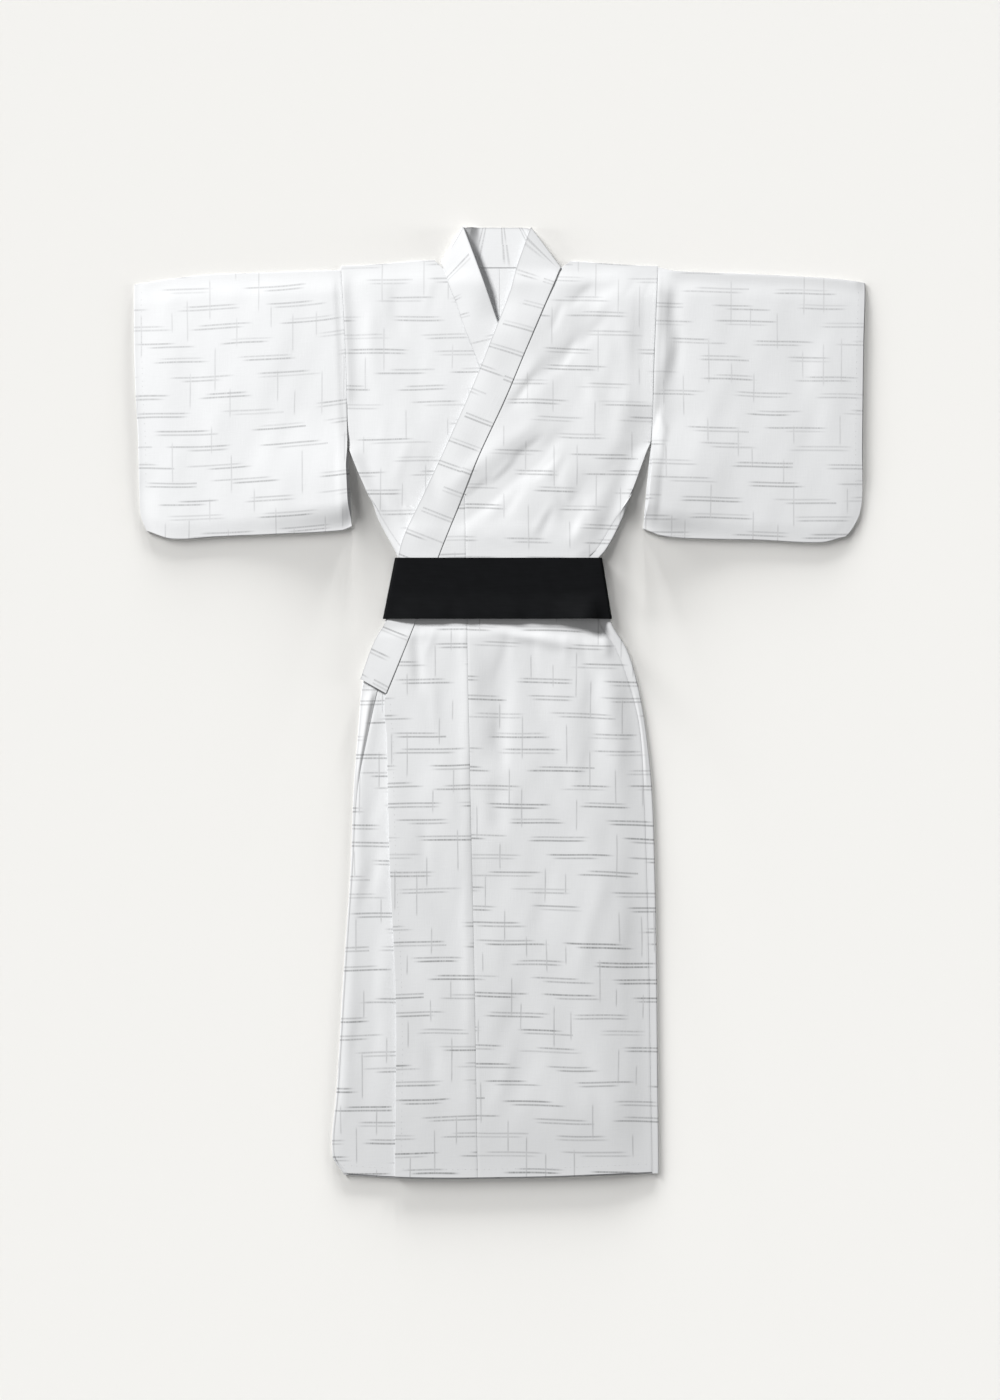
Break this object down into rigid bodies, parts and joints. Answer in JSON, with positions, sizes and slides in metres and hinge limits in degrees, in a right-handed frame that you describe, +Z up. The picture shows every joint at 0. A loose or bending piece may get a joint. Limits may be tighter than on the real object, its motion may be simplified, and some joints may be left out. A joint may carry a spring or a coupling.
{
  "type": "yukata with belt, laid flat",
  "caption": "Full-length wrap robe with square sleeves and a band collar, closed left over right by a flat belt, laid flat.",
  "frame": {"origin": "centre of the bounding box's underside, where the garment lies on the surface", "axes": "+X towards the wearer's left sleeve, +Y from the hem to the collar, +Z up from the surface, out of the front"},
  "size_m": [1.316, 1.7122, 0.0229],
  "materials": {
    "cotton": "matte plain-weave cotton with pale grey woven dashes",
    "belt_cloth": "matte black woven belt cloth"
  },
  "bodies": {
    "root": {"body_left": "cotton", "body_right": "cotton", "overlap_left": "cotton", "overlap_right": "cotton", "sleeve_left": "cotton", "sleeve_right": "cotton", "collar": "cotton", "belt": "belt_cloth"}
  },
  "joints": []
}
